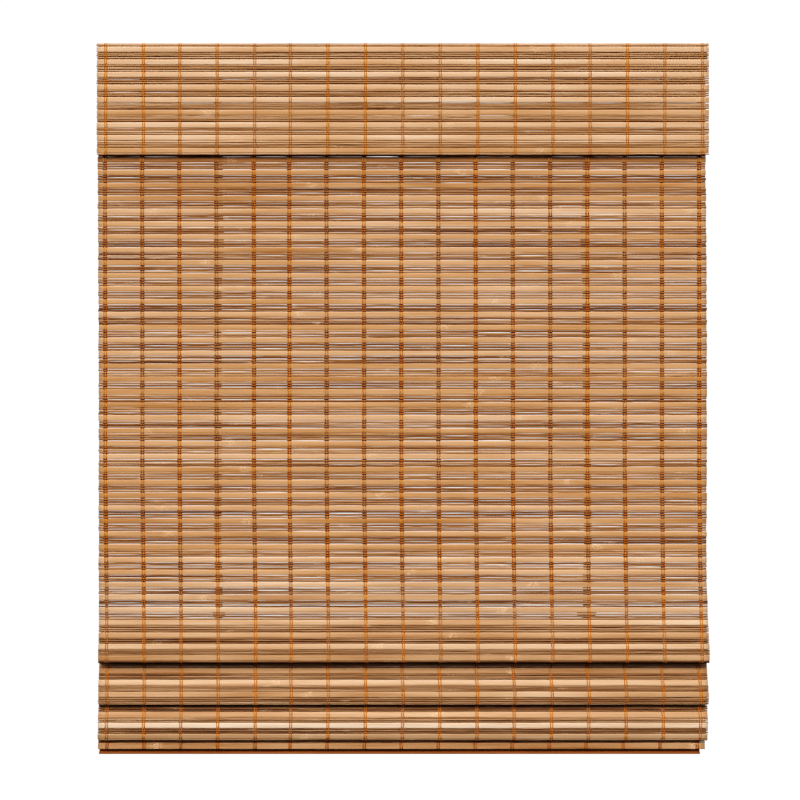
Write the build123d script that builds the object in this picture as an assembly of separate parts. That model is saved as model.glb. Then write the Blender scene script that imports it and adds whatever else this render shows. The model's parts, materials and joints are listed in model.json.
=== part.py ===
"""Flat roman shade of woven bamboo with a spring lift in its headrail.

Millimetres. X runs along the headrail, +Y goes back to the wall, Z is up.
The origin is the centre of the four ceiling holes, on the top face of the
brackets. The shade hangs partly raised, with three folds above its bottom rail.
"""

import math
import os

from build123d import *

# ---- driving dimensions ---------------------------------------------------
# headrail
rail_half = 399.0            # half length of the channel
rail_y = 20.0                # half depth
rail_top, rail_bot = -1.4, -38.0
rail_wall = 0.8
rail_lip = 5.0
cap_t = 2.4

# brackets
br_x, br_w, br_t = 280.0, 30.0, 1.2
br_hole_r = 2.25
br_hole_y = 8.0
br_wall_z = -48.0
br_back = 21.5               # plane of the wall

# cloth
cloth_t = 2.4
panel_y = -21.3              # middle of the hanging panel
panel_x0, panel_x1 = -405.2, 404.6
panel_top = -9.0
row_pitch = 178.0            # spacing of the loop rows
row_1 = -181.0
row_2 = row_1 - row_pitch
row_3 = row_2 - row_pitch
row_4 = row_3 - row_pitch
hem_z = -937.0

# valance
val_half = 406.0
val_drop = 150.0
val_front = -28.3
strip_half = 404.0
strip_y0, strip_y1 = -25.8, -22.6   # the wooden strip that stiffens its top
strip_z0, strip_z1 = -40.0, -2.9
screw_xs = (-350.0, -120.0, 120.0, 350.0)
screw_z = -27.0

# lift lines
line_x = 246.4
line_y = -8.6                # also the winding radius of the cord
cord_r = 0.7
cord_z = -20.0               # height of the cord's run in the headrail
pulley_r = 6.0               # radius of the cord's middle over the pulley
shroud_w, shroud_t, shroud_wall = 10.0, 2.2, 0.28
shroud_top, shroud_bot = -38.6, -914.5
loop_out, loop_wide, loop_wire_r, loop_corner = 15.0, 18.0, 1.0, 4.0

# bottom rail
bar_x0, bar_x1 = -403.3, 394.5
bar_y0, bar_y1 = -25.4, -5.4
bar_z0, bar_z1 = -943.8, -925.2
bar_bevel_y, bar_bevel_z = -23.2, -928.8   # the bevel that the cloth leans on
groove_y, groove_z0, groove_z1 = -22.0, -940.4, -932.0   # finger groove along its front
anchor_top = -914.7

# spring motor
motor_half, motor_y = 60.0, 18.5
wheel_x = (-42.0, -14.0, 14.0, 42.0)
gear_teeth, gear_module = 28, 1.0
gear_z0, gear_z1 = -34.4, -30.6
axle_r, bore_r = 2.0, 2.05
drum_top = -11.0
core_r = 6.0

os.makedirs("parts", exist_ok=True)


# ---- small helpers --------------------------------------------------------
def box(x0, x1, y0, y1, z0, z1):
    return Pos((x0 + x1) / 2, (y0 + y1) / 2, (z0 + z1) / 2) * Box(x1 - x0, y1 - y0, z1 - z0)


def cyl_x(r, x0, x1, y, z):
    return Pos((x0 + x1) / 2, y, z) * (Rot(0, 90, 0) * Cylinder(r, x1 - x0))


def cyl_y(r, y0, y1, x, z):
    return Pos(x, (y0 + y1) / 2, z) * (Rot(90, 0, 0) * Cylinder(r, y1 - y0))


def cyl_z(r, z0, z1, x, y):
    return Pos(x, y, (z0 + z1) / 2) * Cylinder(r, z1 - z0)


def prism_x(points, x0, x1):
    """A closed outline of (y, z) points, drawn along X."""
    face = make_face(Polyline(*[Vector(x0, y, z) for y, z in points], close=True))
    return extrude(face, amount=x1 - x0, dir=(1, 0, 0))


def prism_z(points, z0, z1):
    """A closed outline of (x, y) points, drawn along Z."""
    face = make_face(Polyline(*[Vector(x, y, z0) for x, y in points], close=True))
    return extrude(face, amount=z1 - z0, dir=(0, 0, 1))


def rounded_path(corners, step_deg=14.0):
    """Points along straight runs joined by arcs. corners: (y, z, radius)."""
    out = [corners[0][:2]]
    for i in range(1, len(corners) - 1):
        (ax, ay), (bx, by, r), (cx, cy) = corners[i - 1][:2], corners[i], corners[i + 1][:2]
        ux, uy = ax - bx, ay - by
        vx, vy = cx - bx, cy - by
        lu, lv = math.hypot(ux, uy), math.hypot(vx, vy)
        ux, uy, vx, vy = ux / lu, uy / lu, vx / lv, vy / lv
        turn = math.acos(max(-1.0, min(1.0, -(ux * vx + uy * vy))))
        if turn < 1e-4:
            continue
        cut = min(r * math.tan(turn / 2), 0.498 * lu, 0.498 * lv)
        r = cut / math.tan(turn / 2)
        mx, my = ux + vx, uy + vy
        lm = math.hypot(mx, my)
        reach = math.hypot(cut, r)
        ox, oy = bx + mx / lm * reach, by + my / lm * reach
        a0 = math.atan2(by + uy * cut - oy, bx + ux * cut - ox)
        a1 = math.atan2(by + vy * cut - oy, bx + vx * cut - ox)
        sweep_by = (a1 - a0 + math.pi) % (2 * math.pi) - math.pi
        n = max(2, math.ceil(abs(math.degrees(sweep_by)) / step_deg))
        for k in range(n + 1):
            a = a0 + sweep_by * k / n
            out.append((ox + r * math.cos(a), oy + r * math.sin(a)))
    out.append(corners[-1][:2])
    return out


def band(points, half):
    """The outline of a strip of the given half thickness along a path."""
    left, right = [], []
    for i, (x, y) in enumerate(points):
        p, n = points[max(i - 1, 0)], points[min(i + 1, len(points) - 1)]
        if 0 < i < len(points) - 1:
            d0 = (x - p[0], y - p[1])
            d1 = (n[0] - x, n[1] - y)
            l0, l1 = math.hypot(*d0), math.hypot(*d1)
            tx, ty = d0[0] / l0 + d1[0] / l1, d0[1] / l0 + d1[1] / l1
            lt = math.hypot(tx, ty)
            grow = 2.0 / lt
            tx, ty = tx / lt, ty / lt
        else:
            tx, ty = n[0] - p[0], n[1] - p[1]
            lt = math.hypot(tx, ty)
            tx, ty, grow = tx / lt, ty / lt, 1.0
        left.append((x - ty * half * grow, y + tx * half * grow))
        right.append((x + ty * half * grow, y - tx * half * grow))
    return left + right[::-1]


def gear_outline(teeth, module, phase, thin=0.12, flank=5):
    """A spur gear's outline: involute flanks, straight roots and tips."""
    rp = teeth * module / 2
    rb = rp * math.cos(math.radians(20))
    ra, rf = rp + module, rp - 1.25 * module
    inv20 = math.tan(math.radians(20)) - math.radians(20)
    half_p = math.pi / (2 * teeth) - thin / rp
    pts = []
    for k in range(teeth):
        mid = phase + 2 * math.pi * k / teeth
        rise = []
        for j in range(flank + 1):
            r = max(rb, rf) + (ra - max(rb, rf)) * j / flank
            a = math.acos(min(1.0, rb / r))
            half = half_p + inv20 - (math.tan(a) - a)
            rise.append((r, half))
        foot = rise[0][1]
        pts.append((rf, mid - foot))
        pts += [(r, mid - h) for r, h in rise]
        pts += [(r, mid + h) for r, h in rise[::-1]]
        pts.append((rf, mid + foot))
    return [(r * math.cos(a), r * math.sin(a)) for r, a in pts]


def save(node, *solids):
    """Write one node; several solids stay separate inside it."""
    found = []
    for s in solids:
        found += list(s.solids())
    shape = found[0] if len(found) == 1 else Compound(children=found)
    shape.label = node
    export_step(shape, f"parts/{node}.step")


# ---- headrail -------------------------------------------------------------
channel = box(-rail_half, rail_half, -rail_y, rail_y, rail_bot, rail_top)
channel -= box(-rail_half - 1, rail_half + 1, -rail_y + rail_wall, rail_y - rail_wall,
               rail_bot + rail_wall, rail_top - rail_wall)
channel -= box(-rail_half - 1, rail_half + 1, -rail_y + rail_lip, rail_y - rail_lip,
               rail_top - 2, rail_top + 1)
for side in (-1, 1):
    channel -= cyl_z(3.0, rail_bot - 1, rail_bot + 2, side * line_x, line_y)
for x in screw_xs:
    channel -= cyl_y(1.6, -rail_y - 1, -rail_y + 2, x, screw_z)
save("headrail_channel", channel)

for side, name in ((-1, "left"), (1, "right")):
    x0, x1 = sorted((side * (rail_half + 0.1), side * (rail_half + cap_t)))
    cap = box(x0, x1, -rail_y, rail_y, rail_bot, rail_top)
    p0, p1 = sorted((side * (rail_half + 0.2), side * (rail_half - 10)))
    plug = box(p0, p1, -rail_y + rail_wall + 0.1, rail_y - rail_wall - 0.1,
               rail_bot + rail_wall + 0.1, rail_top - rail_wall - 0.1)
    q0, q1 = sorted((side * (rail_half - 0.5), side * (rail_half - 11)))
    plug -= box(q0, q1, -rail_y + 3, rail_y - 3, rail_bot + 3, rail_top - 3)
    save(f"end_cap_{name}", cap + plug)

    bx0, bx1 = side * br_x - br_w / 2, side * br_x + br_w / 2
    br_front = -rail_y - 0.3
    br = box(bx0, bx1, br_front - br_t, br_back, -br_t, 0)
    br += box(bx0, bx1, br_back - br_t, br_back, br_wall_z - 8, 0)
    br += box(bx0, bx1, br_front - br_t, br_front, -6.0, 0)
    br += box(bx0, bx1, 11.0, br_back, rail_bot - 0.2 - br_t, rail_bot - 0.2)
    br += box(bx0 + 4, bx1 - 4, -14.2, -13.0, -3.6, 0)
    br += box(bx0 + 4, bx1 - 4, -18.6, -13.0, -3.6, -2.4)
    for y in (-br_hole_y, br_hole_y):
        br -= cyl_z(br_hole_r, -br_t - 1, 1, side * br_x, y)
    br -= cyl_y(br_hole_r, br_back - br_t - 1, br_back + 1, side * br_x, br_wall_z)
    save(f"bracket_{name}", br)

# ---- valance --------------------------------------------------------------
backing = box(-strip_half, strip_half, strip_y0, strip_y1, strip_z0, strip_z1)
for x in screw_xs:
    backing -= cyl_y(1.55, strip_y0 + 0.5, strip_y1 + 1, x, screw_z)
save("valance_strip", backing)

val_mid = val_front + cloth_t / 2
val_path = rounded_path([
    (-21.8, -cloth_t / 2, 0),
    (val_mid, -cloth_t / 2, 1.5),
    (val_mid, -val_drop, 0),
], 15)
save("valance_cloth", prism_x(band(val_path, cloth_t / 2), -val_half, val_half))

screws = []
for x in screw_xs:
    s = cyl_y(1.5, strip_y0 + 0.7, -rail_y + rail_wall, x, screw_z)
    s += cyl_y(3.0, -rail_y + rail_wall, -rail_y + rail_wall + 1.8, x, screw_z)
    s -= box(x - 0.4, x + 0.4, -rail_y + rail_wall + 1.0, -rail_y + 4,
             screw_z - 2.0, screw_z + 2.0)
    screws.append(s)
save("valance_screws", *screws)

# ---- cloth of the panel ---------------------------------------------------
cy0, cy1 = panel_y - cloth_t / 2, panel_y + cloth_t / 2
upper = box(panel_x0, panel_x1, cy0, cy1, row_1, panel_top)
for x in screw_xs:
    upper -= cyl_y(1.6, cy0 - 1, cy1 + 1, x, screw_z)
save("shade_upper", upper)
save("shade_middle", box(panel_x0, panel_x1, cy0, cy1, row_4 + 0.2, row_1))

ridge_u, ridge_f, ridge_r = -18.6, -13.6, 2.1
ridge_1, ridge_2, ridge_3 = -764.5, -812.0, -864.0
fold_path = rounded_path([
    (panel_y, row_4, 0),
    (-27.6, -765.0, 90), (-35.6, -807.0, 40),
    (-36.7, -820.5, 2.5), (-31.1, -820.5, 2.3),                 # lowest edge of fold 1
    (-27.6, -806.0, 30), (ridge_u, -772.0, 20),
    (ridge_u, ridge_1, ridge_r), (ridge_f, ridge_1, ridge_r),     # ridge 1
    (-14.2, -774.0, 20), (-21.5, -806.0, 60), (-24.2, -833.0, 50),
    (-31.0, -852.0, 30), (-33.6, -865.0, 14),
    (-33.2, -873.8, 7.5), (-29.8, -879.0, 3.4), (-26.4, -875.8, 3.4),   # fold 2 rolls under
    (-24.9, -858.0, 40), (-20.0, -830.0, 30),
    (ridge_u, ridge_2, ridge_r), (ridge_f, ridge_2, ridge_r),     # ridge 2
    (-14.3, -830.0, 30), (-21.0, -858.0, 40), (-22.8, -877.0, 10),
    (-29.4, -889.0, 9), (-33.2, -900.0, 20),
    (-33.4, -919.9, 7.5), (-30.4, -925.5, 3.2), (-27.2, -922.3, 3.2),   # fold 3 rolls under
    (-24.6, -906.0, 20), (-20.5, -888.0, 30), (ridge_u, -874.0, 12),
    (ridge_u, ridge_3, ridge_r), (ridge_f, ridge_3, ridge_r),     # ridge 3
    (-14.3, -880.0, 20), (-18.6, -900.0, 30), (-22.3, -920.5, 8),
    (-28.4, -930.5, 4), (-28.4, hem_z, 0),                      # over the rail's bevel
], 22)
save("shade_folds", prism_x(band(fold_path, cloth_t / 2), panel_x0, panel_x1))


# ---- cord loops -----------------------------------------------------------
def loop(x, front, z):
    """A closed loop of wire lying flat, its front bar on the cloth's back."""
    r = loop_corner
    y0, y1 = front + loop_wire_r, front + loop_out - loop_wire_r
    x0, x1 = x - loop_wide / 2 + loop_wire_r, x + loop_wide / 2 - loop_wire_r
    path = Wire([
        Edge.make_line((x0 + r, y0, z), (x1 - r, y0, z)),
        Edge.make_three_point_arc((x1 - r, y0, z), (x1 - r + r * math.sin(math.pi / 4), y0 + r - r * math.cos(math.pi / 4), z), (x1, y0 + r, z)),
        Edge.make_line((x1, y0 + r, z), (x1, y1 - r, z)),
        Edge.make_three_point_arc((x1, y1 - r, z), (x1 - r + r * math.cos(math.pi / 4), y1 - r + r * math.sin(math.pi / 4), z), (x1 - r, y1, z)),
        Edge.make_line((x1 - r, y1, z), (x0 + r, y1, z)),
        Edge.make_three_point_arc((x0 + r, y1, z), (x0 + r - r * math.sin(math.pi / 4), y1 - r + r * math.cos(math.pi / 4), z), (x0, y1 - r, z)),
        Edge.make_line((x0, y1 - r, z), (x0, y0 + r, z)),
        Edge.make_three_point_arc((x0, y0 + r, z), (x0 + r - r * math.cos(math.pi / 4), y0 + r - r * math.sin(math.pi / 4), z), (x0 + r, y0, z)),
    ])
    section = Plane(origin=(x0 + r, y0, z), z_dir=(1, 0, 0)) * Circle(loop_wire_r)
    return sweep(section, path=path)


flat_front = panel_y + cloth_t / 2 + 0.1
ridge_front = ridge_f + cloth_t / 2 + 0.1
for n, z in ((1, row_1), (2, row_2), (3, row_3)):
    save(f"cord_loops_row_{n}", *[loop(s * line_x, flat_front, z) for s in (-1, 1)])
save("cord_loops_stack", *(
    [loop(s * line_x, flat_front, row_4 - 2.0) for s in (-1, 1)]
    + [loop(s * line_x, ridge_front, z - 3.4) for z in (ridge_1, ridge_2, ridge_3) for s in (-1, 1)]
))

# ---- bottom rail ----------------------------------------------------------
bar = prism_x([
    (bar_y0, bar_z0), (bar_y0, bar_bevel_z), (bar_bevel_y, bar_z1), (bar_y1, bar_z1), (bar_y1, bar_z0),
], bar_x0, bar_x1)
bar = fillet(bar.edges().filter_by(Axis.X), 1.0)
bar -= box(bar_x0 - 1, bar_x1 + 1, bar_y0 - 1, groove_y, groove_z0, groove_z1)
for side in (-1, 1):
    bar -= cyl_z(2.55, bar_z1 - 12, bar_z1 + 1, side * line_x, line_y)
save("bottom_rail", bar)
for side, name in ((-1, "left"), (1, "right")):
    x = side * line_x
    a = box(x - 8, x + 8, line_y - 4.8, bar_y1 - 0.6, bar_z1, anchor_top)
    a = fillet(a.edges().filter_by(Axis.Z), 2.0)
    a += cyl_z(2.5, bar_z1 - 10, bar_z1 + 1, x, line_y)
    a -= cyl_z(cord_r + 0.15, bar_z1 - 6, anchor_top + 1, x, line_y)
    save(f"cord_anchor_{name}", a)

# ---- lift cords, shrouds and drop pulleys ----------------------------------
for side, name in ((-1, "left"), (1, "right")):
    x = side * line_x
    px = side * (line_x - pulley_r)
    pz = cord_z - pulley_r
    end_z = bar_z1 - 5.0
    k = math.sin(math.pi / 4)
    path = Wire([
        Edge.make_line((side * wheel_x[3], line_y, cord_z), (px, line_y, cord_z)),
        Edge.make_three_point_arc((px, line_y, cord_z),
                                  (px + side * pulley_r * k, line_y, pz + pulley_r * k),
                                  (x, line_y, pz)),
        Edge.make_line((x, line_y, pz), (x, line_y, end_z)),
    ])
    section = Plane(origin=(side * wheel_x[3], line_y, cord_z), z_dir=(side, 0, 0)) * Circle(cord_r)
    save(f"lift_cord_{name}", sweep(section, path=path))

    h = shroud_w / 2
    sleeve = box(x - h, x + h, line_y - shroud_t / 2, line_y + shroud_t / 2, shroud_bot, shroud_top)
    sleeve = fillet(sleeve.edges().filter_by(Axis.Z), shroud_t * 0.46)
    inner_t = shroud_t - 2 * shroud_wall
    inner = box(x - h + 0.7, x + h - 0.7, line_y - inner_t / 2, line_y + inner_t / 2,
                shroud_bot - 1, shroud_top + 1)
    save(f"cord_shroud_{name}", sleeve - inner)

    wheel = cyl_y(pulley_r + 1.4, line_y - 2.5, line_y + 2.5, px, pz)
    groove = Plane(origin=(px, line_y, pz), x_dir=(1, 0, 0), z_dir=(0, 0, 1)) * Polyline(
        (pulley_r - 0.8, -0.5), (pulley_r + 1.6, -1.7), (pulley_r + 1.6, 1.7),
        (pulley_r - 0.8, 0.5), close=True)
    wheel -= revolve(make_face(groove), Axis((px, line_y, pz), (0, 1, 0)))
    wheel -= cyl_y(1.55, line_y - 4, line_y + 4, px, pz)
    save(f"pulley_{name}", wheel)

    g0, g1 = sorted((side * (line_x - 17), side * (line_x + 13)))
    guide = box(g0, g1, line_y - 9.5, line_y + 15.5, rail_bot + rail_wall + 0.1, rail_bot + rail_wall + 2.1)
    for y in (line_y - 5.2, line_y + 2.8):
        c0, c1 = sorted((side * (line_x - 13.5), side * (line_x + 3)))
        guide += box(c0, c1, y, y + 2.4, rail_bot + rail_wall + 1.1, cord_z + 3.0)
    guide -= cyl_y(1.52, line_y - 8, line_y + 8, px, pz)
    guide -= cyl_z(1.8, rail_bot - 1, rail_bot + 5, x, line_y)
    save(f"cord_guide_{name}", guide)

save("pulley_pins", *[cyl_y(1.5, line_y - 5.2, line_y + 5.2, s * (line_x - pulley_r), cord_z - pulley_r)
                      for s in (-1, 1)])

# ---- spring motor ----------------------------------------------------------
mb0 = rail_bot + rail_wall + 0.1
mb1 = mb0 + 2.0
wall_top = -8.6
base = box(-motor_half, motor_half, -motor_y, motor_y, mb0, mb1)
base += box(-motor_half, motor_half, -motor_y, -motor_y + 1.6, mb0, wall_top)
base += box(-motor_half, motor_half, motor_y - 1.6, motor_y, mb0, wall_top)
for side in (-1, 1):
    e0, e1 = sorted((side * motor_half, side * (motor_half - 1.6)))
    base += box(e0, e1, -motor_y, motor_y, mb0, wall_top)
bosses = [(sx * 55.0, sy * 14.2) for sx in (-1, 1) for sy in (-1, 1)]
for x, y in bosses:
    base += cyl_z(3.0, mb0 + 1, wall_top, x, y)
for x, y in bosses:
    base -= cyl_z(1.05, wall_top - 10, wall_top + 1, x, y)
for x in wheel_x:
    base -= cyl_z(axle_r + 0.02, mb1 - 1.5, mb1 + 1, x, 0)
for side in (-1, 1):
    base -= cyl_x(1.6, *sorted((side * (motor_half - 4), side * (motor_half + 4))), line_y, cord_z)
save("motor_base", base)

cover = box(-motor_half, motor_half, -motor_y, motor_y, wall_top, wall_top + 1.8)
for x, y in bosses:
    cover -= cyl_z(1.2, wall_top - 1, wall_top + 3, x, y)
for x in wheel_x:
    cover -= cyl_z(axle_r + 0.02, wall_top - 1, wall_top + 1.0, x, 0)
save("motor_cover", cover)

mscrews = []
for x, y in bosses:
    s = cyl_z(1.0, wall_top - 8, wall_top + 1.8, x, y) + cyl_z(2.1, wall_top + 1.8, wall_top + 3.2, x, y)
    s -= box(x - 1.5, x + 1.5, y - 0.3, y + 0.3, wall_top + 2.5, wall_top + 4)
    mscrews.append(s)
save("motor_screws", *mscrews)
save("motor_axles", *[cyl_z(axle_r, mb1 - 1.3, wall_top + 0.8, x, 0) for x in wheel_x])

pitch = 2 * math.pi / gear_teeth
for i, name in enumerate(("spool_left", "output_drum", "storage_drum", "spool_right")):
    x = wheel_x[i]
    phase = 0.0 if i % 2 == 0 else pitch / 2
    w = prism_z([(x + px, py) for px, py in gear_outline(gear_teeth, gear_module, phase)], gear_z0, gear_z1)
    w += cyl_z(core_r, gear_z1 - 1, drum_top, x, 0)
    w += cyl_z(10.6, gear_z1 - 0.5, gear_z1 + 0.8, x, 0)
    if name.startswith("spool"):
        w += cyl_z(10.6, drum_top - 1.2, drum_top, x, 0)
    w -= cyl_z(bore_r, gear_z0 - 1, drum_top + 1, x, 0)
    save(name, w)
    if name.startswith("spool"):
        wound = cyl_z(-line_y - cord_r - 0.1, gear_z1 + 1.0, drum_top - 1.4, x, 0)
        wound -= cyl_z(core_r + 0.02, gear_z1, drum_top, x, 0)
        save("wound_cord_" + name.split("_")[1], wound)

coil_z0, coil_z1 = gear_z1 + 1.6, drum_top - 1.6
ra, rb = 9.0, 10.4
xa, xb = wheel_x[1], wheel_x[2]
coil_a = cyl_z(ra, coil_z0, coil_z1, xa, 0) - cyl_z(core_r + 0.15, coil_z0 - 1, coil_z1 + 1, xa, 0)
coil_b = cyl_z(rb, coil_z0, coil_z1, xb, 0) - cyl_z(core_r + 0.15, coil_z0 - 1, coil_z1 + 1, xb, 0)
strip_t = 0.3
c = (ra + rb - strip_t) / (xb - xa)
s = math.sqrt(1 - c * c)
p = (xa + (ra - strip_t / 2) * c, (ra - strip_t / 2) * s)
q = (xb - (rb - strip_t / 2) * c, -(rb - strip_t / 2) * s)
nx, ny = c * strip_t / 2, s * strip_t / 2
strip = prism_z([(p[0] - nx, p[1] - ny), (p[0] + nx, p[1] + ny),
                 (q[0] + nx, q[1] + ny), (q[0] - nx, q[1] - ny)], coil_z0, coil_z1)
save("flat_spring", coil_a + coil_b + strip)
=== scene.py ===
import json
import math

import bpy
import numpy as np
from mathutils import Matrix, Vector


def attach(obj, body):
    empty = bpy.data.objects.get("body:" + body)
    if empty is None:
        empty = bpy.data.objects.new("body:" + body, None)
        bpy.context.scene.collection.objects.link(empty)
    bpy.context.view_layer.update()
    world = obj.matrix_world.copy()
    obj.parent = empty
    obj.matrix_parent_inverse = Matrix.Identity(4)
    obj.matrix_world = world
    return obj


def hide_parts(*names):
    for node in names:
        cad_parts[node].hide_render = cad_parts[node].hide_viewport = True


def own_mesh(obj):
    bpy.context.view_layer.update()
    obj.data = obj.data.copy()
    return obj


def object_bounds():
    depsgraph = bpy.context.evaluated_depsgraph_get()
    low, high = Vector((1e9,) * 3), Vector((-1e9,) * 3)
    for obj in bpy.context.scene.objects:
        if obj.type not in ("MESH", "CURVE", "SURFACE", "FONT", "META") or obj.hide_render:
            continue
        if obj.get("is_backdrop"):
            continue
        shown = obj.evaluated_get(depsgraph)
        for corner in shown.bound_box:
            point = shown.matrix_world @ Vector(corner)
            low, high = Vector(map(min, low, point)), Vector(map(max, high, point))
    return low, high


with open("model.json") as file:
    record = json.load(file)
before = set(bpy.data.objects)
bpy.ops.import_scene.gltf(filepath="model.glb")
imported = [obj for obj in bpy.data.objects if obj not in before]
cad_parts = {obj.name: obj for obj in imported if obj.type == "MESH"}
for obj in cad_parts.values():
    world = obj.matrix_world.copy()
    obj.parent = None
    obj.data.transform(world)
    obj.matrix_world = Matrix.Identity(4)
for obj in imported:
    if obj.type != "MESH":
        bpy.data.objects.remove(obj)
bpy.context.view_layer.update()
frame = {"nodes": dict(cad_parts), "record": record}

nodes = frame["nodes"]
rng = np.random.default_rng(20261)
scene = bpy.context.scene
MM = 0.001

# ---- camera ---------------------------------------------------------------
# Straight on, 2.2 m in front of the valance. Lengths here are millimetres.
px = 1.3257                     # one picture pixel at the valance's front
cam_d = 2200.0
val_front = -28.3
cam_x, cam_z = -3.7, -473.7
cam_data = bpy.data.cameras.new("camera")
cam_data.sensor_width = 36.0
cam_data.lens = 36.0 * cam_d / (800 * px)
cam_data.clip_start, cam_data.clip_end = 0.05, 60.0
cam = bpy.data.objects.new("camera", cam_data)
cam.location = (cam_x * MM, (val_front - cam_d) * MM, cam_z * MM)
cam.rotation_euler = (math.pi / 2, 0, 0)
scene.collection.objects.link(cam)
scene.camera = cam
scene.view_settings.view_transform = "Standard"
scene.view_settings.look = "None"
# a film's response: the deep tones fall off a little faster
scene.view_settings.use_curve_mapping = True
response = scene.view_settings.curve_mapping
for at in ((0.05, 0.033), (0.13, 0.112), (0.30, 0.293)):
    response.curves[3].points.new(*at)
response.update()


# ---- node helpers -----------------------------------------------------------
class Mat:
    """A material with a Principled shader and short ways to add nodes."""

    def __init__(self, name):
        self.m = bpy.data.materials.new(name)
        self.m.use_nodes = True
        self.t = self.m.node_tree
        self.bsdf = next(n for n in self.t.nodes if n.type == "BSDF_PRINCIPLED")

    def add(self, kind, **props):
        n = self.t.nodes.new(kind)
        for k, v in props.items():
            setattr(n, k, v)
        return n

    def put(self, socket, value):
        if hasattr(value, "is_linked"):
            self.t.links.new(value, socket)
        else:
            socket.default_value = value

    def attr(self, name, out="Vector"):
        return self.add("ShaderNodeAttribute", attribute_name=name).outputs[out]

    def math(self, op, a, b=0.0, clamp=False):
        n = self.add("ShaderNodeMath", operation=op, use_clamp=clamp)
        self.put(n.inputs[0], a)
        self.put(n.inputs[1], b)
        return n.outputs[0]

    def mul(self, v, by):
        n = self.add("ShaderNodeVectorMath", operation="MULTIPLY")
        self.put(n.inputs[0], v)
        n.inputs[1].default_value = by
        return n.outputs[0]

    def noise(self, v, scale=1.0, detail=3.0, rough=0.55):
        n = self.add("ShaderNodeTexNoise")
        self.put(n.inputs["Vector"], v)
        n.inputs["Scale"].default_value = scale
        n.inputs["Detail"].default_value = detail
        n.inputs["Roughness"].default_value = rough
        return n.outputs[0]

    def span(self, v, a, b, c=0.0, d=1.0):
        n = self.add("ShaderNodeMapRange")
        self.put(n.inputs[0], v)
        for i, x in enumerate((a, b, c, d)):
            n.inputs[i + 1].default_value = x
        return n.outputs[0]

    def ramp(self, v, *stops):
        n = self.add("ShaderNodeValToRGB")
        self.put(n.inputs[0], v)
        e = n.color_ramp.elements
        while len(e) < len(stops):
            e.new(0.5)
        for el, (p, c) in zip(e, stops):
            el.position = p
            el.color = (*srgb(c), 1.0)
        return n.outputs[0]

    def mix(self, f, a, b, kind="MIX"):
        n = self.add("ShaderNodeMix", data_type="RGBA", blend_type=kind)
        self.put(n.inputs[0], f)
        self.put(n.inputs[6], a if hasattr(a, "is_linked") else (*srgb(a), 1.0))
        self.put(n.inputs[7], b if hasattr(b, "is_linked") else (*srgb(b), 1.0))
        return n.outputs[2]

    def bump(self, h, strength, distance):
        n = self.add("ShaderNodeBump")
        n.inputs["Strength"].default_value = strength
        n.inputs["Distance"].default_value = distance
        self.put(n.inputs["Height"], h)
        self.t.links.new(n.outputs[0], self.bsdf.inputs["Normal"])

    def set(self, **kw):
        for k, v in kw.items():
            self.put(self.bsdf.inputs[k.replace("_", " ")], v)
        return self.m


def srgb(c):
    out = []
    for v in c[:3]:
        v = v / 255.0
        out.append(v / 12.92 if v <= 0.04045 else ((v + 0.055) / 1.055) ** 2.4)
    return out


# ---- materials of the cloth -------------------------------------------------
# "grain" holds, at each vertex, the place along the stick in metres, the place
# across it in millimetres and a number of its own for each stick.
def bamboo(name, stops, streak, dark, knots, rough):
    m = Mat(name)
    g = m.attr("grain")
    tone = m.attr("tone", "Fac")
    fibre = m.noise(m.mul(g, (11.0, 1.3, 1.0)), 1.0, 4.0, 0.6)
    fine = m.noise(m.mul(g, (38.0, 5.0, 1.0)), 1.0, 3.0, 0.65)
    slow = m.noise(m.mul(g, (3.4, 0.12, 1.0)), 1.0, 2.0, 0.5)
    f = m.math("ADD", tone, m.math("MULTIPLY", m.math("SUBTRACT", fibre, 0.5), streak))
    f = m.math("ADD", f, m.math("MULTIPLY", m.math("SUBTRACT", fine, 0.5), streak * 0.75))
    f = m.math("ADD", f, m.math("MULTIPLY", m.math("SUBTRACT", slow, 0.5), streak * 0.8))
    # long dark fibres
    vein = m.noise(m.mul(g, (7.0, 2.6, 1.7)), 1.0, 3.0, 0.7)
    f = m.math("SUBTRACT", f, m.span(vein, 0.56, 0.74, 0.0, dark), clamp=True)
    col = m.ramp(f, *stops)
    # the culm's joints: a small speckled patch every so often
    sep = m.add("ShaderNodeSeparateXYZ")
    m.put(sep.inputs[0], g)
    along = m.math("ADD", m.math("MULTIPLY", sep.outputs[0], 1.4), sep.outputs[2])
    along = m.math("ADD", along, m.math("MULTIPLY", m.math("SUBTRACT", fibre, 0.5), 0.05))
    joint = m.math("ABSOLUTE", m.math("SUBTRACT", m.math("FRACT", along), 0.5))
    speck = m.noise(m.mul(g, (330.0, 0.55, 1.0)), 1.0, 2.0, 0.5)
    mark = m.math("MULTIPLY", m.span(joint, 0.003, 0.013, knots, 0.0), m.span(speck, 0.45, 0.56))
    col = m.mix(mark, col, (246, 208, 166))
    h = m.math("ADD", fibre, m.math("MULTIPLY", fine, 0.6))
    m.bump(h, 0.35, 0.0004)
    return m.set(Base_Color=col, Roughness=m.span(fine, 0.3, 0.7, rough - 0.08, rough + 0.12),
                 Specular_IOR_Level=0.16)


slat_mat = bamboo("bamboo_slat", (
    (0.00, (122, 70, 30)), (0.30, (186, 127, 74)), (0.55, (214, 161, 111)),
    (0.80, (233, 190, 150)), (1.00, (248, 222, 194)),
), 0.56, 0.20, 0.6, 0.5)
stick_mat = bamboo("bamboo_stick", (
    (0.00, (66, 32, 12)), (0.30, (141, 91, 50)), (0.55, (188, 138, 94)),
    (0.80, (216, 172, 132)), (1.00, (238, 206, 174)),
), 0.70, 0.38, 0.35, 0.55)

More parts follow.
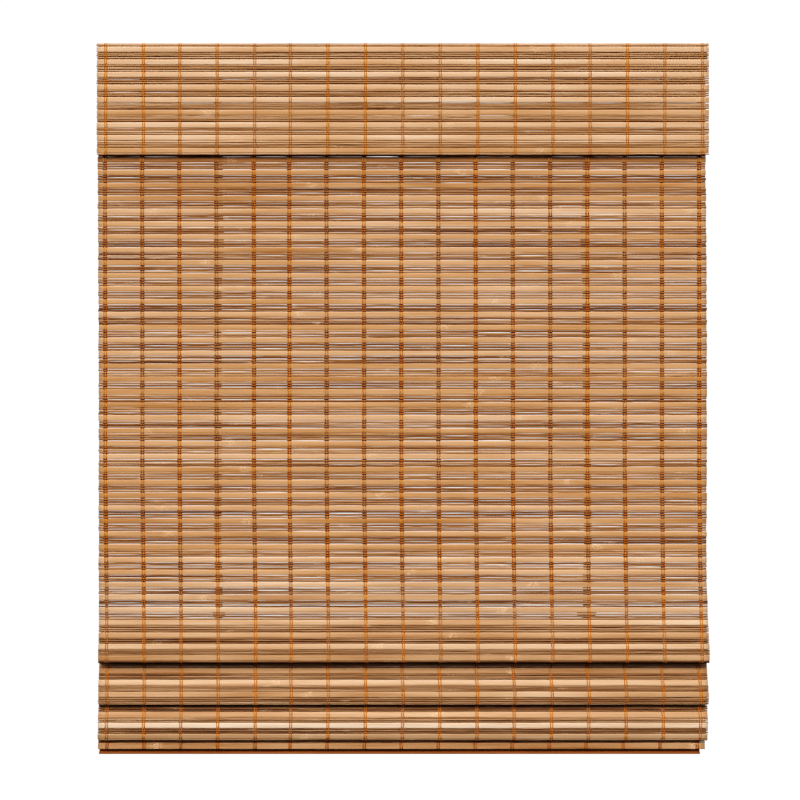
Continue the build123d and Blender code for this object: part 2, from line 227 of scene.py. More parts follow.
fold_slat_mat = bamboo("bamboo_slat_pale", (
    (0.00, (118, 70, 34)), (0.30, (180, 127, 82)), (0.55, (207, 162, 120)),
    (0.80, (228, 193, 158)), (1.00, (246, 222, 197)),
), 0.56, 0.20, 0.6, 0.5)
fold_stick_mat = bamboo("bamboo_stick_pale", (
    (0.00, (58, 29, 12)), (0.30, (133, 88, 50)), (0.55, (183, 140, 102)),
    (0.80, (212, 174, 140)), (1.00, (236, 208, 180)),
), 0.70, 0.44, 0.35, 0.55)


def thread_material():
    m = Mat("warp_thread")
    g = m.attr("grain")
    tone = m.attr("tone", "Fac")
    ply = m.noise(m.mul(g, (1500.0, 1.5, 1.0)), 1.0, 2.0, 0.5)
    f = m.math("ADD", tone, m.math("MULTIPLY", m.math("SUBTRACT", ply, 0.5), 0.45), clamp=True)
    # the dark end of this ramp is reached in the gaps, where the tone is painted shade
    col = m.ramp(f, (0.0, (66, 13, 0)), (0.30, (130, 48, 6)), (0.62, (204, 120, 38)), (1.0, (246, 182, 98)))
    m.bump(ply, 0.5, 0.0003)
    return m.set(Base_Color=col, Roughness=0.7, Specular_IOR_Level=0.12)


thread_mat = thread_material()


# ---- woven cloth ------------------------------------------------------------
def rounded_path(corners, step_deg=9.0):
    out = [corners[0][:2]]
    for i in range(1, len(corners) - 1):
        a, (bx, by, r), c = corners[i - 1], corners[i], corners[i + 1]
        ux, uy, vx, vy = a[0] - bx, a[1] - by, c[0] - bx, c[1] - by
        lu, lv = math.hypot(ux, uy), math.hypot(vx, vy)
        ux, uy, vx, vy = ux / lu, uy / lu, vx / lv, vy / lv
        turn = math.acos(max(-1.0, min(1.0, -(ux * vx + uy * vy))))
        if turn < 1e-4:
            continue
        cut = min(r * math.tan(turn / 2), 0.498 * lu, 0.498 * lv)
        r = cut / math.tan(turn / 2)
        mx, my = ux + vx, uy + vy
        lm, reach = math.hypot(mx, my), math.hypot(cut, r)
        ox, oy = bx + mx / lm * reach, by + my / lm * reach
        a0 = math.atan2(by + uy * cut - oy, bx + ux * cut - ox)
        a1 = math.atan2(by + vy * cut - oy, bx + vx * cut - ox)
        sweep = (a1 - a0 + math.pi) % (2 * math.pi) - math.pi
        n = max(2, math.ceil(abs(math.degrees(sweep)) / step_deg))
        out += [(ox + r * math.cos(a0 + sweep * k / n), oy + r * math.sin(a0 + sweep * k / n)) for k in range(n + 1)]
    out.append(corners[-1][:2])
    return out


class Path:
    """The cloth's middle line in (y, z). s is the length along it, downwards."""

    def __init__(self, pts, s0=0.0):
        self.p = np.array(pts, float)
        self.s = s0 + np.r_[0, np.cumsum(np.hypot(*np.diff(self.p, axis=0).T))]

    def at(self, s):
        s = np.asarray(s, float)
        out = np.stack([np.interp(s, self.s, self.p[:, i]) for i in (0, 1)], -1)
        for end, other, k in ((0, 1, -1), (-1, -2, 1)):
            d = (self.p[end] - self.p[other]) / np.linalg.norm(self.p[end] - self.p[other])
            over = np.maximum(0, k * (s - self.s[end]))
            out = out + over[..., None] * d
        return out

    def frame(self, s, w):
        a, b = self.at(np.asarray(s) - w / 2), self.at(np.asarray(s) + w / 2)
        t = b - a
        t = t / np.maximum(np.linalg.norm(t, axis=-1, keepdims=True), 1e-9)
        return (a + b) / 2, t, np.stack([t[..., 1], -t[..., 0]], -1)

    def cross(self, z, pick):
        """s where the line crosses height z; pick chooses among the crossings."""
        found = []
        for i in range(len(self.p) - 1):
            z0, z1 = self.p[i, 1], self.p[i + 1, 1]
            if (z0 - z) * (z1 - z) <= 0 and z0 != z1:
                f = (z - z0) / (z1 - z0)
                found.append((self.p[i, 0] + f * (self.p[i + 1, 0] - self.p[i, 0]),
                              self.s[i] + f * (self.s[i + 1] - self.s[i])))
        return pick(found)[1]


class Mesh:
    def __init__(self):
        self.v, self.f, self.m, self.tone, self.grain, self.n = [], [], [], [], [], 0

    def tube(self, rings, mat, tone, grain):
        """rings: (stations, points, 3) in millimetres, closed round and capped."""
        k, m = rings.shape[:2]
        base = self.n
        self.v.append(rings.reshape(-1, 3) * MM)
        self.tone.append(np.broadcast_to(tone, (k, m)).reshape(-1))
        self.grain.append(grain.reshape(-1, 3))
        i = np.arange(k - 1)[:, None] * m
        j = np.arange(m)[None, :]
        q = np.stack([i + j, i + (j + 1) % m, i + m + (j + 1) % m, i + m + j], -1).reshape(-1, 4) + base
        self.f += q.tolist()
        self.f.append([base + a for a in range(m)][::-1])
        self.f.append([base + (k - 1) * m + a for a in range(m)])
        self.m += [mat] * (len(q) + 2)
        self.n += k * m

    def build(self, name, mats):
        me = bpy.data.meshes.new(name)
        me.from_pydata(np.concatenate(self.v).tolist(), [], self.f)
        for mat in mats:
            me.materials.append(mat)
        me.polygons.foreach_set("material_index", np.array(self.m, np.int32))
        me.polygons.foreach_set("use_smooth", np.ones(len(me.polygons), bool))
        a = me.attributes.new("tone", "FLOAT", "POINT")
        a.data.foreach_set("value", np.concatenate(self.tone).astype(np.float32))
        a = me.attributes.new("grain", "FLOAT_VECTOR", "POINT")
        a.data.foreach_set("vector", np.concatenate(self.grain).astype(np.float32).reshape(-1))
        me.validate()
        me.update()
        o = bpy.data.objects.new(name, me)
        scene.collection.objects.link(o)
        return o


WIDE = np.array([(-1, -0.55), (-0.86, -1), (0.86, -1), (1, -0.55), (1, 0.30), (0.90, 0.80),
                 (0.50, 1.0), (-0.50, 1.0), (-0.90, 0.80), (-1, 0.30)])
THIN = np.array([(-1.0, -0.15), (-0.62, -0.85), (0.62, -0.85), (1.0, -0.15), (0.86, 0.62), (0.36, 1.0), (-0.36, 1.0), (-0.86, 0.62)])
STRAND = np.array([(1.0, 0.0), (0.0, 1.0), (-1.0, 0.0), (0.0, -0.8)])
WIDE_W, WIDE_T = 7.3, 1.15
THIN_W, THIN_T = 3.0, 1.6


def wander(x, size, waves):
    """A smooth seeded wobble along a stick."""
    out = np.zeros_like(x)
    for k in waves:
        out += rng.normal() / k ** 0.6 * np.sin(2 * math.pi * (k * x / 812.0 + rng.random()))
    return size * out


def rows_between(wides, first, last, gap_at):
    """Every stick between two ends of the cloth: (s, width, thickness, is it wide)."""
    out = []

    def thins(a, b, n):
        # the end gaps lie against the wide slats
        gaps = gap_at((a + b) / 2) * rng.choice((0.15, 0.6, 1.0, 1.4, 2.0), n + 1)
        widths = rng.normal(1.0, 0.09, n)
        widths *= (b - a - gaps.sum()) / widths.sum()
        where = a
        for g, w in zip(gaps, widths):
            out.append((where + g + w / 2, w, THIN_T * rng.normal(1.0, 0.06), False))
            where += g + w

    half = [WIDE_W / 2 * rng.normal(1.0, 0.03) for _ in wides]
    pitch = THIN_W
    n = int((wides[0] - half[0] - first) // pitch)
    if n > 0:
        thins(wides[0] - half[0] - n * pitch, wides[0] - half[0], n)
    for i, s in enumerate(wides):
        out.append((s, 2 * half[i], WIDE_T * rng.normal(1.0, 0.05), True))
        if i + 1 < len(wides):
            thins(s + half[i], wides[i + 1] - half[i + 1], 3)
    n = int((last - wides[-1] - half[-1]) // pitch)
    if n > 0:
        thins(wides[-1] + half[-1], wides[-1] + half[-1] + n * pitch, n)
    return [r for r in sorted(out) if first <= r[0] <= last]


def add_sticks(mesh, path, rows, ends, warps, shift, pale, rag, dice):
    warps = np.array(sorted(warps))
    # each stick's own tone, evened out over the piece
    own = np.clip(dice.normal(size=len(rows)), -1.6, 1.6)
    kind = np.array([r[3] for r in rows])
    for k in (True, False):
        if (kind == k).any():
            own[kind == k] -= own[kind == k].mean()
    for (s, w, t, wide), odd in zip(rows, own):
        uneven = rag if wide else 1.4 * rag
        a, b = np.array(ends(s)) + rng.uniform(-uneven, uneven, 2)
        held = warps + np.array([shift(s, x) for x in warps])
        # the warps hold each stick, and between them it bows a little
        steps = 3
        x, ds = [a], [rng.normal(0, 0.06)]
        for w0, w1 in zip(held, held[1:]):
            x.append(w0)
            ds.append(rng.normal(0, 0.04 if wide else 0.05))
            bow = rng.normal(0, 0.07 if wide else 0.15)
            for k in range(1, steps):
                x.append(w0 + (w1 - w0) * k / steps)
                ds.append(bow + rng.normal(0, 0.03))
        x += [held[-1], b]
        ds += [rng.normal(0, 0.05), rng.normal(0, 0.08)]
        x, ds = np.array(x), np.array(ds)
        dn = wander(x, 0.03 if wide else 0.07, (1, 2, 4, 7))
        width = w / 2 * (1 + wander(x, 0.008 if wide else 0.025, (2, 3, 6, 11)))
        c, tan, nor = path.frame(s, w if wide else w * 0.8)
        sec = WIDE if wide else THIN
        u = sec[None, :, 0] * width[:, None] + ds[:, None]
        v = sec[None, :, 1] * (t / 2) + dn[:, None]
        ring = np.empty((len(x), len(sec), 3))
        ring[..., 0] = x[:, None]
        ring[..., 1] = c[0] + u * tan[0] + v * nor[0]
        ring[..., 2] = c[1] + u * tan[1] + v * nor[1]
        seed = rng.uniform(0, 400)
        grain = np.empty_like(ring)
        grain[..., 0] = x[:, None] * MM
        grain[..., 1] = u + 0.8 * v
        grain[..., 2] = seed
        # pale(s, wide) shifts each stick's tone; in places it is painted shade or painted light
        tone = pale(s, wide) + (0.085 * odd + 0.57 if wide else 0.10 * odd + 0.54)
        drift = wander(x, 0.05, (1, 2, 3, 5))
        mesh.tube(ring, 0 if wide else 1, (tone + drift)[:, None], grain)


def add_threads(mesh, path, rows, warps, shift, thread_tone_and_shade, apart, half):
    """Each warp: two strands over the front, and one over the back, meeting in every gap."""
    marks = []                        # (s, how far out, tone)
    for i, (s, w, t, wide) in enumerate(rows):
        prev = rows[i - 1] if i else None
        edge = s - w / 2
        gap = edge - 0.3 if prev is None else (prev[0] + prev[1] / 2 + edge) / 2
        # the tones beside and in each gap are darker: painted shade where the strands go down between the sticks
        on_wide, on_thin, beside, dip = thread_tone_and_shade(s)
        marks.append((gap, 0.12, dip, True))
        if wide:
            for k in (-0.40, 0.0, 0.40):
                marks.append((s + k * w, t / 2 + 0.24, on_wide, k == 0.0))
        else:
            rise = t / 2 + 0.20
            marks += [(s - 0.24 * w, rise, beside, False), (s, rise, on_thin, True), (s + 0.24 * w, rise, beside, False)]
    last = rows[-1]
    marks.append((last[0] + last[1] / 2 + 0.3, 0.12, dip, True))
    full = [np.array(a, float) for a in zip(*marks)]
    few = [a[full[3] > 0] for a in full]
    for x in warps:
        for off, reach, thick, side in ((-apart, half, 0.34, 1), (apart, half, 0.34, 1), (0.0, apart + 0.75, 0.32, -1)):
            s, out, tone, _ = full if side > 0 else few
            c, _, nor = path.frame(s, 1.6)
            xs = x + np.array([shift(a, x) for a in s]) + off + rng.normal(0, 0.12, len(s))
            n = side * out + rng.normal(0, 0.03, len(s))
            ring = np.empty((len(s), len(STRAND), 3))
            slim = np.where(tone < 0.3, 1.4, 1.0)
            ring[..., 0] = xs[:, None] + STRAND[None, :, 0] * reach * slim[:, None]
            v = n[:, None] + STRAND[None, :, 1] * thick
            ring[..., 1] = c[:, None, 0] + v * nor[:, None, 0]
            ring[..., 2] = c[:, None, 1] + v * nor[:, None, 1]
            grain = np.empty_like(ring)
            grain[..., 0] = s[:, None] * MM
            grain[..., 1] = STRAND[None, :, 0] * reach
            grain[..., 2] = rng.uniform(0, 400)
            mesh.tube(ring, 2, (tone + rng.normal(0, 0.05, len(s)))[:, None], grain)


CLOTH = [slat_mat, stick_mat, thread_mat]
FOLDED = [fold_slat_mat, fold_stick_mat, thread_mat]

# thread tones over a wide slat, over a thin stick, beside the gap and in the gap; the last two are painted shade
PANEL_THREAD_TONE_AND_SHADE = (0.76, 0.66, 0.56, 0.10)
made = []                       # the woven pieces so far


def woven(name, path, rows, ends, warps, shift, body, pale=lambda s, wide: 0.0 if wide else -0.09,
          thread_tone_and_shade=lambda s: PANEL_THREAD_TONE_AND_SHADE, apart=1.5, half=0.86, rag=0.45, mats=CLOTH):
    """thread_tone_and_shade: the warp's tone over a wide slat, over a thin stick, at its sides and in the gap; the
    tones at the sides and in the gap are darker, painted shade where the strands go down between the sticks.
    """
    mesh = Mesh()
    made.append(name)
    add_sticks(mesh, path, rows, ends, warps, shift, pale, rag, np.random.default_rng(500 + len(made)))
    add_threads(mesh, path, rows, warps, shift, thread_tone_and_shade, apart, half)
    o = mesh.build(name, mats)
    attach(o, body)
    return o


def depth(y):
    """How much larger a pixel is at depth y than at the valance's front."""
    return 1 + (y - val_front) / cam_d


def z_of(row, y):
    return cam_z - (row - 400.0) * px * depth(y)


# warp lines: a pitch with the small unevenness of the real loom
val_warps = [(p - 402.0) * px for p in (
    104.8, 142.6, 179.0, 216.2, 253.8, 289.5, 327.0, 364.6, 402.0, 439.5, 477.1, 514.5, 552.2, 589.4, 626.8, 664.1, 701.7)]
pan_warps = [(p - 402.8) * px * depth(-22.5) for p in (
    105.1, 142.3, 179.4, 216.5, 253.9, 289.4, 326.6, 364.1, 401.3, 438.6, 475.8, 513.0, 550.4, 587.5, 624.9, 662.1, 699.4)]

# valance
val_path = Path(rounded_path([(-21.8, -1.2, 0), (val_front + 1.2, -1.2, 1.5), (val_front + 1.2, -150.0, 0)]))
top_wide = val_path.cross(z_of(49.2, val_front), max)
val_rows = rows_between([top_wide + 16.75 * k for k in range(0, 9)], 0.9, val_path.s[-1] - 0.5, lambda s: 0.46)
valance = woven("valance_weave", val_path, val_rows, lambda s: (-405.9, 405.9), val_warps, lambda s, x: 0.0, "headrail",
                pale=lambda s, wide: (0.16 if s < val_path.s[-1] - 12 else 0.0) if wide else 0.06,
                thread_tone_and_shade=lambda s: (0.78, 0.72, 0.66, 0.50), apart=1.3, half=0.74, rag=0.3)
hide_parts("valance_cloth")

# panel: straight to the last loop row, then the folds
panel_y, panel_top, row_z = -21.3, -9.0, (-181.0, -359.0, -537.0, -715.0)
folds = rounded_path([
    (panel_y, -715.0, 0), (-27.6, -765.0, 90), (-35.6, -807.0, 40),
    (-36.7, -820.5, 2.5), (-31.1, -820.5, 2.3),
    (-27.6, -806.0, 30), (-18.6, -772.0, 20),
    (-18.6, -764.5, 2.1), (-13.6, -764.5, 2.1),
    (-14.2, -774.0, 20), (-21.5, -806.0, 60), (-24.2, -833.0, 50),
    (-31.0, -852.0, 30), (-33.6, -865.0, 14),
    (-33.2, -873.8, 7.5), (-29.8, -879.0, 3.4), (-26.4, -875.8, 3.4),
    (-24.9, -858.0, 40), (-20.0, -830.0, 30),
    (-18.6, -812.0, 2.1), (-13.6, -812.0, 2.1),
    (-14.3, -830.0, 30), (-21.0, -858.0, 40), (-22.8, -877.0, 10),
    (-29.4, -889.0, 9), (-33.2, -900.0, 20),
    (-33.4, -919.9, 7.5), (-30.4, -925.5, 3.2), (-27.2, -922.3, 3.2),
    (-24.6, -906.0, 20), (-20.5, -888.0, 30), (-18.6, -874.0, 12),
    (-18.6, -864.0, 2.1), (-13.6, -864.0, 2.1),
    (-14.3, -880.0, 20), (-18.6, -900.0, 30), (-22.3, -920.5, 8), (-28.4, -930.5, 4), (-28.4, -937.0, 0),
])
panel = Path([(panel_y, panel_top)] + folds)
front = lambda found: min(found)
last = lambda found: found[-1]
wides = [panel.cross(z_of(172.4, -22.5), max) + 17.17 * k for k in range(-9, 31)]
under = wides[8]                # the slat just below the valance
wides += [wides[-1] + 16.6 * k for k in range(1, 7)]
spots = {}
for row, pick, y in ((658.0, front, -36.5), (670.9, front, -25.0), (682.5, front, -29.5), (694.6, front, -34.0),
                     (714.3, front, -28.0), (725.7, front, -33.8), (736.7, front, -34.2), (746.0, last, -28.6)):
    goal = panel.cross(z_of(row, y), pick)
    spots[row] = goal
    n = max(1, round((goal - wides[-1]) / 16.2))
    step = (goal - wides[-1]) / n
    wides += [wides[-1] + step * k for k in range(1, n + 1)]
wides = [s for s in wides if s > 1]
pan_rows = rows_between(wides, 0.9, panel.s[-1] - 0.8, lambda s: float(np.interp(s, (700, 760), (0.24, 0.44))))

# the last slat, below the folds, is broader
end_s, end_w, end_t, _ = pan_rows[-1]
pan_rows[-1] = (end_s, 8.1, end_t, True)

# how far the warps hang to one side down the cloth, and where the sticks end
hang_s = np.array([0, 150, 380, 560, 640, 706, 800, 850, 935, 980, 1040, 1110, 1150, 1230, 1320.0])
hang_l = np.array([-0.5, -0.4, 0.0, 0.0, 0.8, 1.7, 4.2, 3.6, 2.6, 4.2, 3.4, 2.6, 3.3, 3.2, 3.1])
hang_r = np.array([-0.4, -0.3, 0.0, 0.0, 0.8, 1.5, 1.6, 0.0, -1.5, 0.8, 0.0, -1.0, 0.2, -2.0, -3.7])
end_at = np.array([0, 150, 265, 398, 531, 638, 704, 750, 795, 850, 937, 977, 1040, 1112, 1147, 1230, 1320.0])
left_end = np.array([-405.6, -405.5, -404.9, -404.3, -404.3, -404.4, -404.2, -403.2, -402.5, -403.2, -403.5, -403.0, -404.0,
                     -404.4, -403.5, -403.7, -404.0])
right_end = np.array([402.3, 402.5, 403.6, 404.3, 404.2, 403.9, 404.0, 404.6, 405.5, 404.6, 403.8, 404.7, 404.4, 404.3, 403.9,
                      402.0, 400.4])


def shift(s, x):
    f = (x + 346.0) / 691.0
    return float(np.interp(s, hang_s, (1 - f) * hang_l + f * hang_r))


def ends(s):
    return float(np.interp(s, end_at, left_end)), float(np.interp(s, end_at, right_end))


upto = [-row_z[0] + panel_top, -row_z[3] + panel_top]
part = lambda a, b: [r for r in pan_rows if a <= r[0] < b]

def upper_tone_with_valance_shade(s, wide):
    # painted shade: the slat just below the valance and the sticks under it are darker where the valance's shadow falls
    if abs(s - under) < 5:
        return -0.38
    return -0.12 if under - 5 < s < under + 14 else 0.0 if wide else -0.09


upper = woven("panel_upper_weave", panel, part(0, upto[0]), ends, pan_warps, shift, "headrail", pale=upper_tone_with_valance_shade)
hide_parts("shade_upper")

# The middle gathers: in each cell between two loop rows, the upper half rides on the row above and the lower half on
# the row below.
rides = ("headrail", "loop_row_2", "loop_row_3", "fold_stack")
for i in range(3):
    top, low = row_z[i], row_z[i + 1]
    mid = (top + low) / 2
    for z0, z1, which, sign, name in ((top, mid, i, -1, "a"), (mid, low, i + 1, 1, "b")):
        band = woven(f"panel_middle_weave_{i + 1}{name}", panel, part(panel_top - z0, panel_top - z1), ends,
                     pan_warps, shift, rides[which])
        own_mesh(band)
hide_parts("shade_middle")

# the folds, cut into four lengths at the ridges behind them
def fold_tone_with_painted_shade(s, wide):
    # painted shade: the strip below the folds is darker, in the shadow of fold 3
    if abs(s - spots[746.0]) < 6:
        return -0.28
    if abs(s - spots[725.7]) < 4:
        return 0.30
    # painted shade: the first slat of fold 2 is darker, under the shadow of fold 1
    if abs(s - spots[670.9]) < 5:
        return -0.20
    # painted light: the sticks just above that slat, inside fold 1's shadow, are lighter
    if spots[670.9] - 16 < s < spots[670.9] - 3:
        return 0.16
    if ridges[0] < s < ridges[1]:
        return 0.0 if wide else -0.07
    if ridges[1] < s < ridges[2]:
        return 0.02 if wide else -0.15
    return -0.02 if wide else -0.13


def fold_thread_tone_and_shade(s):
    # painted shade: the threads on the strip below the folds are darker, in the shadow of fold 3
    if abs(s - spots[746.0]) < 6:
        return 0.50, 0.50, 0.44, 0.34
    f = float(np.interp(s, (upto[1], upto[1] + 50), (0, 1)))
    return tuple(a + f * (b - a) for a, b in zip(PANEL_THREAD_TONE_AND_SHADE, (0.72, 0.66, 0.60, 0.46)))


ridges = [panel.cross(z, lambda f: max(f)) for z in (-765.5, -813.0, -865.0)]
cuts = [upto[1]] + ridges + [1e9]
for i, (a, b) in enumerate(zip(cuts, cuts[1:])):
    long = min(b, panel.s[-1]) - a
    fold = woven(f"panel_fold_weave_{i + 1}", panel, part(a, b), ends, pan_warps, shift, "fold_stack",
                 pale=fold_tone_with_painted_shade, thread_tone_and_shade=fold_thread_tone_and_shade, apart=1.35, half=0.76, rag=0.25, mats=FOLDED)
    if i == 0:
        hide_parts("shade_folds")

# ---- lift cords and their shrouds -------------------------------------------
line_x, line_y = 246.4, -8.6


def cord_material():
    m = Mat("cord_braid")
    tc = m.add("ShaderNodeTexCoord").outputs["Object"]
    w = m.add("ShaderNodeTexWave", wave_type="BANDS", bands_direction="DIAGONAL")
    m.put(w.inputs["Vector"], tc)
    w.inputs["Scale"].default_value = 620.0
    w.inputs["Distortion"].default_value = 1.5
    col = m.mix(w.outputs[1], (120, 92, 62), (186, 160, 124))
    m.bump(w.outputs[1], 0.5, 0.0002)
    return m.set(Base_Color=col, Roughness=0.75)


def tape_material():
    m = Mat("brown_tape")
    tc = m.add("ShaderNodeTexCoord").outputs["Object"]
    v = m.noise(m.mul(tc, (900, 900, 2600)), 1.0, 2.0, 0.5)
    w = m.add("ShaderNodeTexWave", wave_type="BANDS", bands_direction="Z")
    m.put(w.inputs["Vector"], tc)
    w.inputs["Scale"].default_value = 480.0
    f = m.math("ADD", m.math("MULTIPLY", v, 0.6), m.math("MULTIPLY", w.outputs[1], 0.4))
    col = m.ramp(f, (0.2, (26, 11, 6)), (0.55, (52, 25, 14)), (0.9, (78, 42, 26)))
    m.bump(f, 0.5, 0.0002)
    return m.set(Base_Color=col, Roughness=0.85, Sheen_Weight=0.2)


cord_mat, tape_mat = cord_material(), tape_material()


def sweep_tube(name, pts, ring_at, mat):
    """A closed mesh tube: ring_at gives the section's points around each station."""
    rings = np.array([ring_at(i, p) for i, p in enumerate(pts)])
    mesh = Mesh()
    mesh.tube(rings, 0, 0.5, np.zeros_like(rings))
    return mesh.build(name, [mat])


for side, name in ((-1, "left"), (1, "right")):
    x = side * line_x
    # the run in the headrail and over the pulley
    run = [(side * t, -20.0) for t in np.linspace(42.0, line_x - 6.0, 24)]
    run += [(x - side * 6.0 + side * 6.0 * math.sin(a), -26.0 + 6.0 * math.cos(a)) for a in np.linspace(0, math.pi / 2, 12)[1:]]
    run = np.array(run)
    tan = np.gradient(run, axis=0)
    tan /= np.linalg.norm(tan, axis=1, keepdims=True)
    ang = np.linspace(0, 2 * math.pi, 10, endpoint=False)

    def ring(i, p):
        n = np.array([-tan[i, 1], tan[i, 0]])
        return [(p[0] + 0.7 * math.cos(a) * n[0], line_y + 0.7 * math.sin(a), p[1] + 0.7 * math.cos(a) * n[1]) for a in ang]

    run_o = sweep_tube(f"lift_cord_{name}_run", run, ring, cord_mat)
    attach(run_o, "headrail")
    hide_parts(f"lift_cord_{name}")
    drop = [(x, z) for z in np.linspace(-26.0, -930.2, 40)]
    drop_o = sweep_tube(f"lift_cord_{name}_drop", drop, lambda i, p: [
        (p[0] + 0.7 * math.cos(a), line_y + 0.7 * math.sin(a), p[1]) for a in ang], cord_mat)
    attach(drop_o, "headrail")
    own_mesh(drop_o)

    # the shroud: a flat woven sleeve that hangs a little slack between the loops
    zs = np.sort(np.r_[np.linspace(-38.6, -914.5, 140), np.linspace(-750.5, -765.5, 12)])[::-1]
    slack_z = [-915, -715, -660, -606, -537, -500, -430, -359, -325, -262, -195, -38]
    if side < 0:
        slack_x, gather = [0, 0.6, -1.4, -0.8, -0.6, -0.9, -0.9, -0.9, -0.8, 2.2, 0.5, 0], 8.5
    else:
        slack_x, gather = [0, -0.6, 1.4, 0.8, 0.4, -0.9, -0.9, -0.9, -0.9, -4.0, -0.8, 0], 13.0
    off = np.interp(zs, slack_z, slack_x)
    width = np.interp(zs, (-766, -764.6, -761.5, -755.5, -752, -750), (1, 1, gather / 5, gather / 5, 1, 1))
    turn = 0.07 * np.sin(zs / 61.0 + side)
    sec = [(-5.0, 0.0), (-4.6, 0.75), (-2.0, 1.05), (2.0, 1.05), (4.6, 0.75), (5.0, 0.0),
           (4.6, -0.75), (2.0, -1.05), (-2.0, -1.05), (-4.6, -0.75)]

    def sleeve(i, p):
        c, s = math.cos(turn[i]), math.sin(turn[i])
        return [(x + off[i] + width[i] * a * c - b * s, line_y + a * s * 0.5 + b, p[1]) for a, b in sec]

    shroud = sweep_tube(f"cord_shroud_{name}_sleeve", [(0, z) for z in zs], sleeve, tape_mat)
    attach(shroud, "headrail")
    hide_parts(f"cord_shroud_{name}")
    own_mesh(shroud)


# ---- finishes of the carried-over nodes ---------------------------------------
def coords(m):
    return m.add("ShaderNodeTexCoord").outputs["Object"]


def enamel():
    m = Mat("white_enamel")
    c = coords(m)
    orange = m.noise(c, 900.0, 2.0, 0.5)
    dust = m.noise(m.mul(c, (14, 40, 40)), 1.0, 4.0, 0.6)
    col = m.ramp(dust, (0.25, (206, 203, 194)), (0.6, (228, 226, 219)), (0.85, (236, 234, 228)))
    m.bump(orange, 0.08, 0.0002)
    return m.set(Base_Color=col, Roughness=m.span(dust, 0.3, 0.7, 0.32, 0.46), Coat_Weight=0.2)


def zinc():
    m = Mat("zinc_plate")
    c = coords(m)
    v = m.add("ShaderNodeTexVoronoi")
    m.put(v.inputs["Vector"], c)
    v.inputs["Scale"].default_value = 160.0
    sc = m.noise(m.mul(c, (300, 40, 40)), 1.0, 3.0, 0.6)
    f = m.math("ADD", m.math("MULTIPLY", v.outputs[0], 0.5), m.math("MULTIPLY", sc, 0.5))
    col = m.ramp(f, (0.2, (140, 143, 148)), (0.6, (178, 181, 186)), (0.9, (204, 206, 209)))
    m.bump(sc, 0.06, 0.0002)
    return m.set(Base_Color=col, Metallic=1.0, Roughness=m.span(sc, 0.3, 0.7, 0.28, 0.46))


def plastic(name, low, high, rough, bump=0.1):
    m = Mat(name)
    c = coords(m)
    grain = m.noise(c, 1600.0, 2.0, 0.5)
    cloud = m.noise(c, 60.0, 3.0, 0.6)
    col = m.ramp(cloud, (0.3, low), (0.7, high))
    m.bump(grain, bump, 0.0002)
    return m.set(Base_Color=col, Roughness=m.span(grain, 0.3, 0.7, rough - 0.06, rough + 0.08))


def batten():
    m = Mat("bamboo_batten")
    c = coords(m)
    fibre = m.noise(m.mul(c, (9, 700, 700)), 1.0, 4.0, 0.6)
    slow = m.noise(m.mul(c, (5, 60, 60)), 1.0, 2.0, 0.5)
    f = m.math("ADD", m.math("MULTIPLY", fibre, 0.6), m.math("MULTIPLY", slow, 0.4))
    col = m.ramp(f, (0.25, (120, 62, 22)), (0.5, (163, 92, 37)), (0.75, (188, 117, 56)))
    m.bump(fibre, 0.25, 0.0004)
    return m.set(Base_Color=col, Roughness=m.span(slow, 0.3, 0.7, 0.5, 0.66), Specular_IOR_Level=0.15)


def spring_steel():
    m = Mat("spring_steel")
    c = coords(m)
    turns = m.noise(m.mul(c, (2600, 2600, 30)), 1.0, 2.0, 0.5)
    col = m.ramp(turns, (0.3, (58, 62, 74)), (0.7, (128, 132, 144)))
    m.bump(turns, 0.3, 0.0002)
    return m.set(Base_Color=col, Metallic=1.0, Roughness=m.span(turns, 0.3, 0.7, 0.26, 0.42))


finish = {
    "white_steel": enamel(), "zinc_steel": zinc(), "bamboo_batten": batten(), "spring_steel": spring_steel(),
    "ivory_plastic": plastic("ivory_plastic", (205, 196, 176), (222, 214, 196), 0.45),
    "clear_plastic": plastic("loop_plastic", (196, 190, 176), (222, 217, 204), 0.3, 0.05),
    "black_plastic": plastic("motor_plastic", (26, 26, 28), (44, 44, 47), 0.5, 0.18),
    "white_acetal": plastic("acetal", (222, 219, 210), (238, 236, 229), 0.3, 0.05),
    "cord_braid": cord_mat, "brown_tape": tape_mat, "woven_bamboo": slat_mat,
}
for entry in frame["record"]["subparts"]:
    o = nodes[entry["node"]]
    o.data.materials.clear()
    o.data.materials.append(finish[entry["material_slot"]])

# ---- floor, backdrop and light ------------------------------------------------
def stage_mesh(name, verts, faces, mat):
    me = bpy.data.meshes.new(name)
    me.from_pydata(verts, [], faces)
    me.materials.append(mat)
    o = bpy.data.objects.new(name, me)
    scene.collection.objects.link(o)
    o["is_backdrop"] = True
    return o


floor = Mat("pale_floor")
floor_mat = floor.set(Base_Color=floor.ramp(floor.noise(coords(floor), 3.0), (0.3, (236, 236, 236)), (0.7, (242, 242, 242))),
                      Roughness=0.9)
ground = stage_mesh("floor", [(-15, -15, -1.6), (15, -15, -1.6), (15, 15, -1.6), (-15, 15, -1.6)], [(0, 1, 2, 3)], floor_mat)
# the floor throws no light up at the shade: it hangs in light from above
ground.visible_diffuse = False
ground.visible_glossy = False

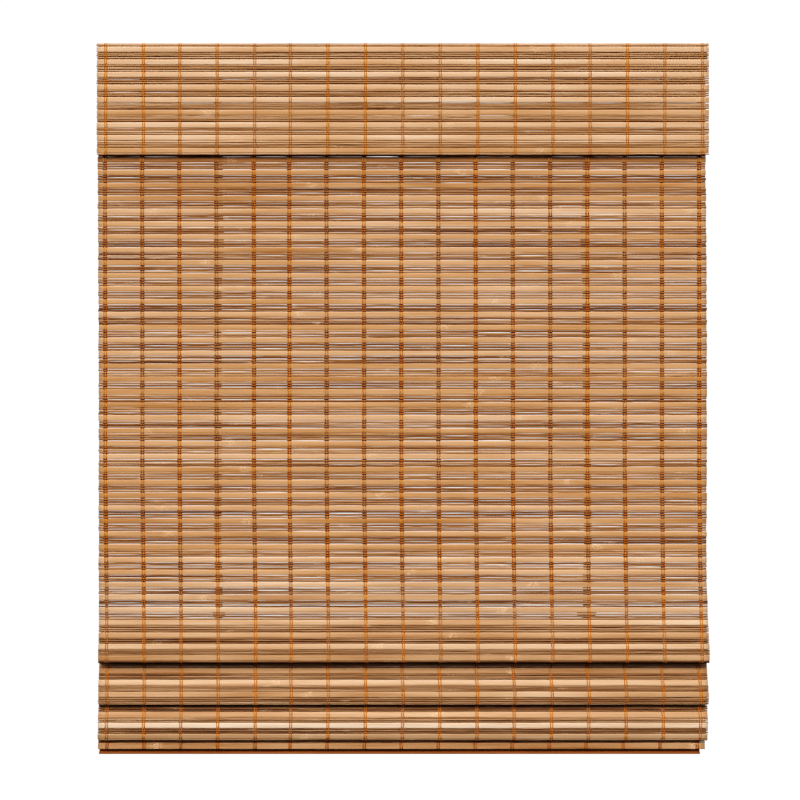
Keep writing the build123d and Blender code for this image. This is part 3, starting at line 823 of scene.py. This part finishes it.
back = Mat("white_backdrop")
for n in list(back.t.nodes):
    if n.type == "BSDF_PRINCIPLED":
        back.t.nodes.remove(n)
glow = back.add("ShaderNodeEmission")
glow.inputs["Strength"].default_value = 1.05
back.put(glow.inputs["Color"], back.ramp(back.noise(coords(back), 0.6), (0.3, (251, 251, 251)), (0.7, (255, 255, 255))))
clear = back.add("ShaderNodeBsdfTransparent")
which = back.add("ShaderNodeNewGeometry")
mixer = back.add("ShaderNodeMixShader")
back.t.links.new(which.outputs["Backfacing"], mixer.inputs[0])
back.t.links.new(glow.outputs[0], mixer.inputs[1])
back.t.links.new(clear.outputs[0], mixer.inputs[2])
back.t.links.new(mixer.outputs[0], next(n for n in back.t.nodes if n.type == "OUTPUT_MATERIAL").inputs[0])
stage_mesh("backdrop", [(-6, 0.8, -1.6), (6, 0.8, -1.6), (6, 0.8, 5), (-6, 0.8, 5)], [(0, 1, 2, 3)], back.m)

walls = Mat("studio_walls")
for n in list(walls.t.nodes):
    if n.type == "BSDF_PRINCIPLED":
        walls.t.nodes.remove(n)
pale = walls.add("ShaderNodeEmission")
walls.put(pale.inputs["Color"], walls.ramp(walls.noise(coords(walls), 0.2), (0.3, (238, 238, 238)), (0.7, (244, 244, 244))))
walls.t.links.new(pale.outputs[0], next(n for n in walls.t.nodes if n.type == "OUTPUT_MATERIAL").inputs[0])
turns = [(13 * math.cos(k * math.pi / 24), 13 * math.sin(k * math.pi / 24)) for k in range(48)]
around = stage_mesh("studio_walls", [(a, b, -1.6) for a, b in turns] + [(a, b, 12.0) for a, b in turns],
                    [(k, (k + 1) % 48, 48 + (k + 1) % 48, 48 + k) for k in range(48)] + [tuple(range(48, 96))], walls.m)
# seen by the camera only, so the light keeps coming from above
around.visible_diffuse = around.visible_glossy = around.visible_transmission = around.visible_shadow = False

world = bpy.data.worlds.new("studio")
scene.world = world
world.use_nodes = True
wt = world.node_tree
bg = next(n for n in wt.nodes if n.type == "BACKGROUND")
way = wt.nodes.new("ShaderNodeTexCoord")
split = wt.nodes.new("ShaderNodeSeparateXYZ")
sky = wt.nodes.new("ShaderNodeMapRange")
wt.links.new(way.outputs["Generated"], split.inputs[0])
wt.links.new(split.outputs[2], sky.inputs[0])
for i, x in enumerate((0.07, 0.44, 0.0, 0.88)):
    sky.inputs[i + 1].default_value = x
wt.links.new(sky.outputs[0], bg.inputs[1])
bg.inputs[0].default_value = (1.0, 0.96, 0.88, 1.0)

sun = bpy.data.lights.new("key", "SUN")
sun.energy = 2.9
sun.angle = math.radians(24)
key = bpy.data.objects.new("key", sun)
key.rotation_euler = (math.radians(48), 0, math.radians(-6))
scene.collection.objects.link(key)

low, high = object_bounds()
